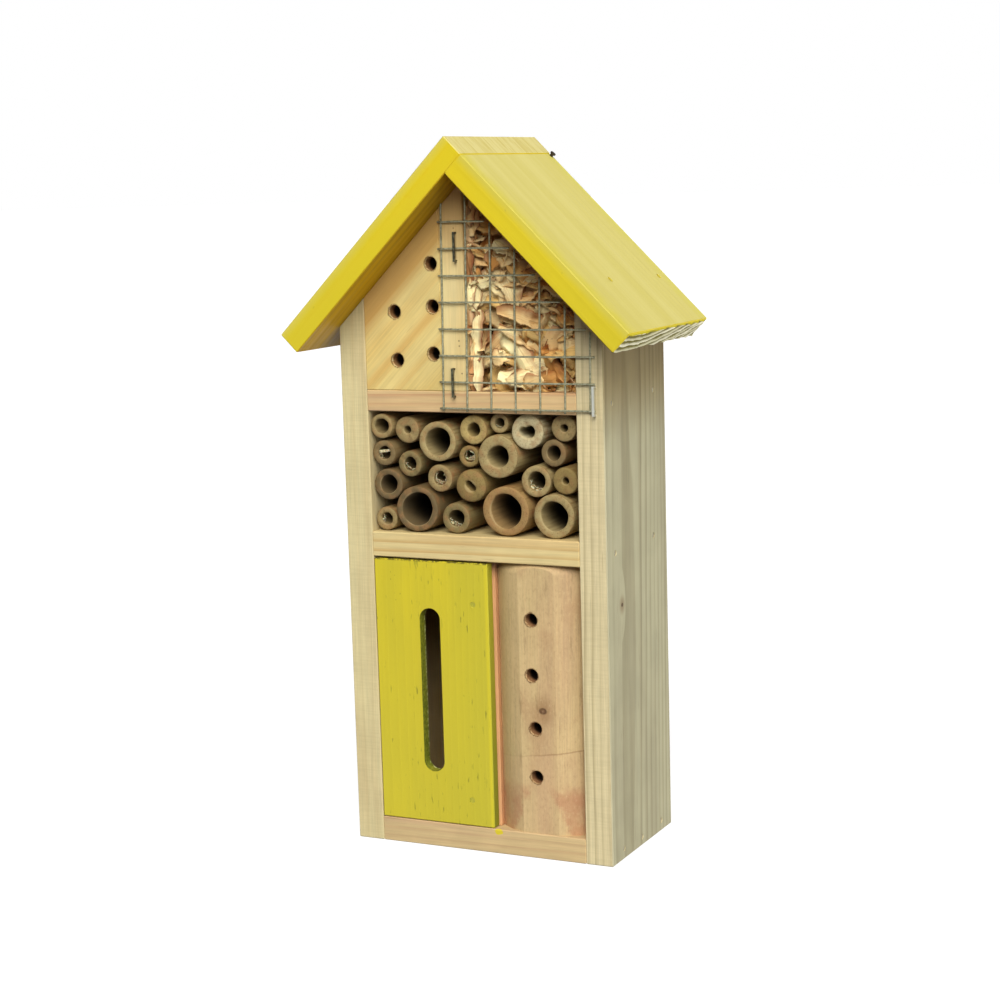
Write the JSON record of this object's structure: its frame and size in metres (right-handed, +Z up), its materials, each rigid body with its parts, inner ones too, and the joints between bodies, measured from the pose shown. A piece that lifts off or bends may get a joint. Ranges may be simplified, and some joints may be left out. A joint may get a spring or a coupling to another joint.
{
  "type": "insect hotel",
  "caption": "Small wooden insect hotel with a pitched painted roof, drilled blocks, bamboo tubes, meshed wood shavings and a slotted butterfly door.",
  "frame": {"origin": "on the base plane, midway between the two eaves and midway between the roof's front edge and the hanger's back", "axes": "+Z up; the front with the door, tubes and mesh faces -Y; +X to the viewer's right"},
  "size_m": [0.1622, 0.0938, 0.311],
  "materials": {
    "side_pine": "sawn, bare",
    "shelf_pine": "sawn, bare",
    "divider_pine": "sawn, bare",
    "plywood": "sawn, bare",
    "roof_paint": "brushed stain, matt",
    "door_paint": "brushed paint, satin",
    "block_pine": "sawn, bare",
    "log_wood": "turned, bare",
    "bamboo": "bare, weathered",
    "shavings": "loose curls",
    "galvanised_wire": "dull galvanised",
    "nail_steel": "dull",
    "hanger_steel": "zinc plated"
  },
  "bodies": {
    "house": {"attic_block": "block_pine", "attic_post": "shelf_pine", "back_panel": "plywood", "back_panel_nails": "nail_steel", "bamboo_tube_01": "bamboo", "bamboo_tube_02": "bamboo", "bamboo_tube_03": "bamboo", "bamboo_tube_04": "bamboo", "bamboo_tube_05": "bamboo", "bamboo_tube_06": "bamboo", "bamboo_tube_07": "bamboo", "bamboo_tube_08": "bamboo", "bamboo_tube_09": "bamboo", "bamboo_tube_10": "bamboo", "bamboo_tube_11": "bamboo", "bamboo_tube_12": "bamboo", "bamboo_tube_13": "bamboo", "bamboo_tube_14": "bamboo", "bamboo_tube_15": "bamboo", "bamboo_tube_16": "bamboo", "bamboo_tube_17": "bamboo", "bamboo_tube_18": "bamboo", "bamboo_tube_19": "bamboo", "bamboo_tube_20": "bamboo", "bamboo_tube_21": "bamboo", "bamboo_tube_22": "bamboo", "base_nails": "nail_steel", "bottom_board": "shelf_pine", "butterfly_door": "door_paint", "divider_board": "divider_pine", "door_brads": "nail_steel", "frame_nails_left": "nail_steel", "frame_nails_right": "nail_steel", "hanger_nails": "hanger_steel", "hanger_strap": "hanger_steel", "left_side_board": "side_pine", "log_block": "log_wood", "lower_shelf": "shelf_pine", "mesh_staples": "galvanised_wire", "ridge_lap_nails": "nail_steel", "ridge_nail": "nail_steel", "right_side_board": "side_pine", "roof_board_left": "roof_paint", "roof_board_right": "roof_paint", "roof_nails": "nail_steel", "upper_shelf": "shelf_pine", "wire_mesh": "galvanised_wire", "wood_shavings": "shavings"},
    "ring": {"hanger_ring": "hanger_steel"}
  },
  "joints": [
    {"name": "ring_swing", "type": "hinge", "parent": "house", "child": "ring", "pos_m": [0.00053, 0.04496, 0.262], "axis": [1, 0, 0], "range_deg": [0, 180]}
  ]
}
